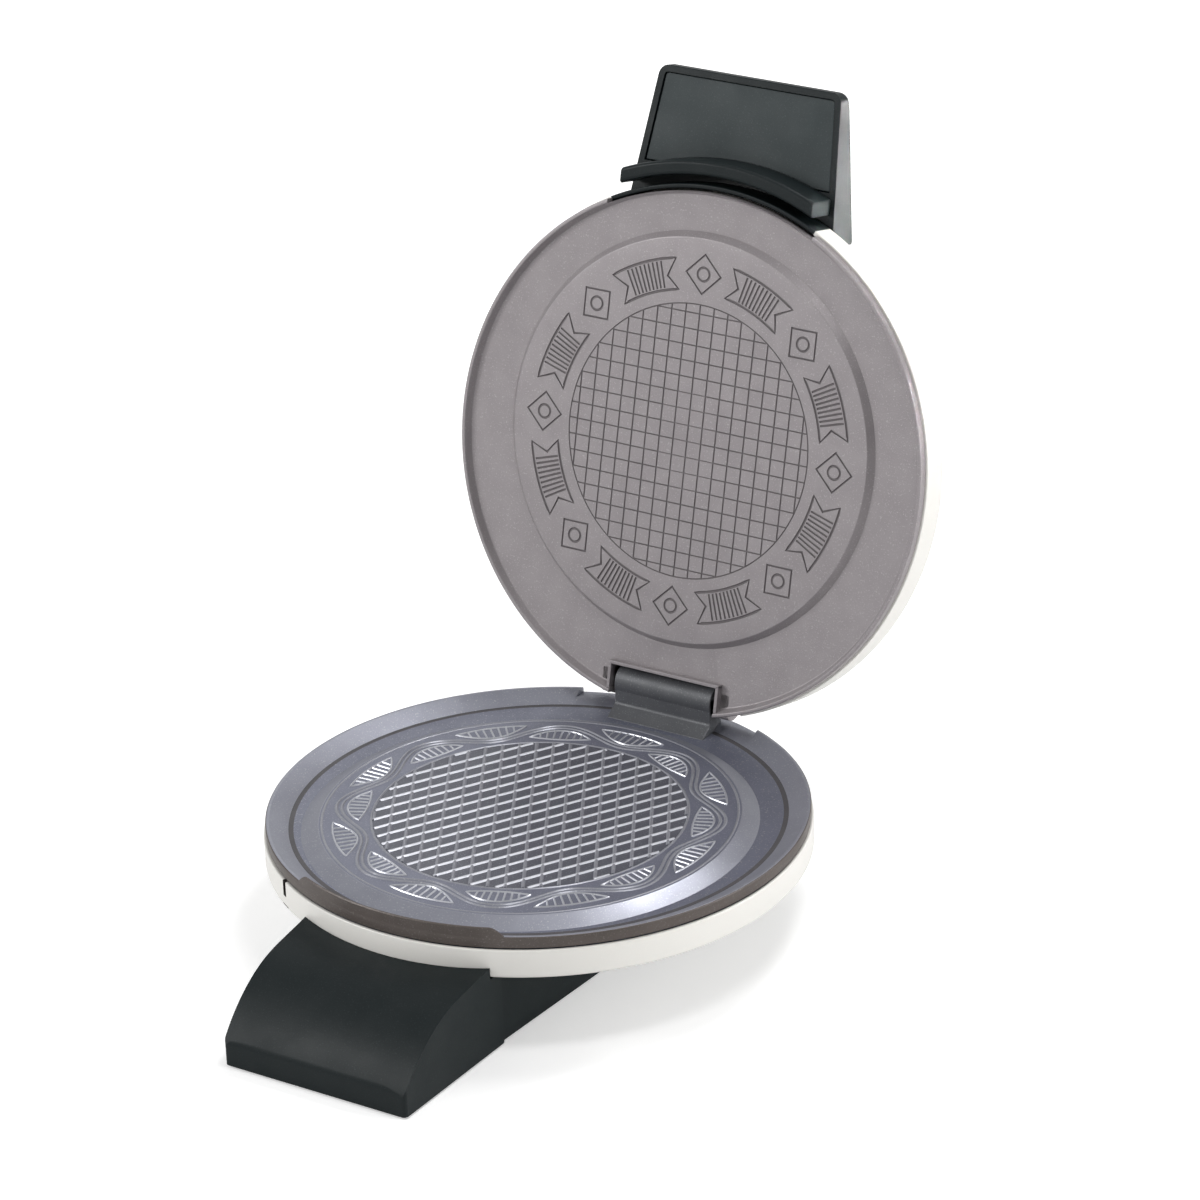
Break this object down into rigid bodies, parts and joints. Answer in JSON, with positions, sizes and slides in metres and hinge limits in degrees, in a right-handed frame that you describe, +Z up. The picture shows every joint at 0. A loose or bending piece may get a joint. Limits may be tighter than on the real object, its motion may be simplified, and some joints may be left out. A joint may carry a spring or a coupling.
{
  "type": "waffle cone maker",
  "caption": "Round electric waffle cone maker on a wedge foot, with an engraved hinged lid that stands open and a wedge handle with a curved finger guard.",
  "frame": {"origin": "on the table, under the middle of the overall box with the lid standing open", "axes": "+Z up; -Y is the front, where the foot and the open lid's cooking face look; +X is to the right seen from the front"},
  "size_m": [0.238, 0.37, 0.3254],
  "materials": {
    "nonstick_lower": "dark satin non-stick coat on cast aluminium",
    "nonstick_upper": "grey satin non-stick coat on cast aluminium",
    "cream_enamel": "cream white enamel",
    "black_plastic": "fine-grained satin black",
    "panel_plastic": "fine-grained satin charcoal",
    "rubber": "matt black",
    "plated_steel": "zinc plated",
    "heater_sheath": "heat-tinted steel",
    "bright_aluminium": "bright rolled sheet",
    "control_body": "heat-proof moulding",
    "lamp_glass": "clear",
    "red_lens": "clear red"
  },
  "bodies": {
    "base": {"lower_plate": "nonstick_lower", "base_pan": "cream_enamel", "front_foot": "black_plastic", "pedestal": "black_plastic", "bottom_cover": "black_plastic", "foot_cover": "black_plastic", "cord_inlet": "black_plastic", "rubber_feet": "rubber", "hinge_pin": "plated_steel", "hinge_washers": "plated_steel", "hinge_clips": "plated_steel", "foot_screws": "plated_steel", "cover_screws": "plated_steel", "pedestal_screws": "plated_steel", "lower_plate_screws": "plated_steel", "lower_heater_pins": "plated_steel", "lower_heater_clamps": "plated_steel", "lower_thermostat_strap": "plated_steel", "lower_posts": "plated_steel", "lower_heater": "heater_sheath", "lower_reflector": "bright_aluminium", "lower_thermostat": "control_body", "terminal_block": "control_body"},
    "lid": {"upper_plate": "nonstick_upper", "lid_cover": "cream_enamel", "upper_heater": "heater_sheath", "upper_heater_pins": "plated_steel", "upper_heater_clamps": "plated_steel", "upper_reflector": "bright_aluminium", "upper_posts": "plated_steel", "upper_plate_screws": "plated_steel", "thermal_fuse": "control_body", "thermal_fuse_strap": "plated_steel", "handle_shell": "black_plastic", "handle_panel": "panel_plastic", "handle_screws": "plated_steel", "finger_guard": "black_plastic", "ready_lens": "red_lens", "ready_lamp": "lamp_glass", "browning_control": "control_body"},
    "knob": {"browning_knob": "black_plastic", "knob_shaft": "plated_steel"}
  },
  "joints": [
    {"name": "lid_hinge", "type": "hinge", "parent": "base", "child": "lid", "pos_m": [0, 0.09727, 0.0627], "axis": [1, 0, 0], "range_deg": [0, 104]},
    {"name": "knob_turn", "type": "hinge", "parent": "lid", "child": "knob", "pos_m": [0, 0.16428, 0.21841], "axis": [0, 0.9703, -0.2419], "range_deg": [0, 270]}
  ]
}
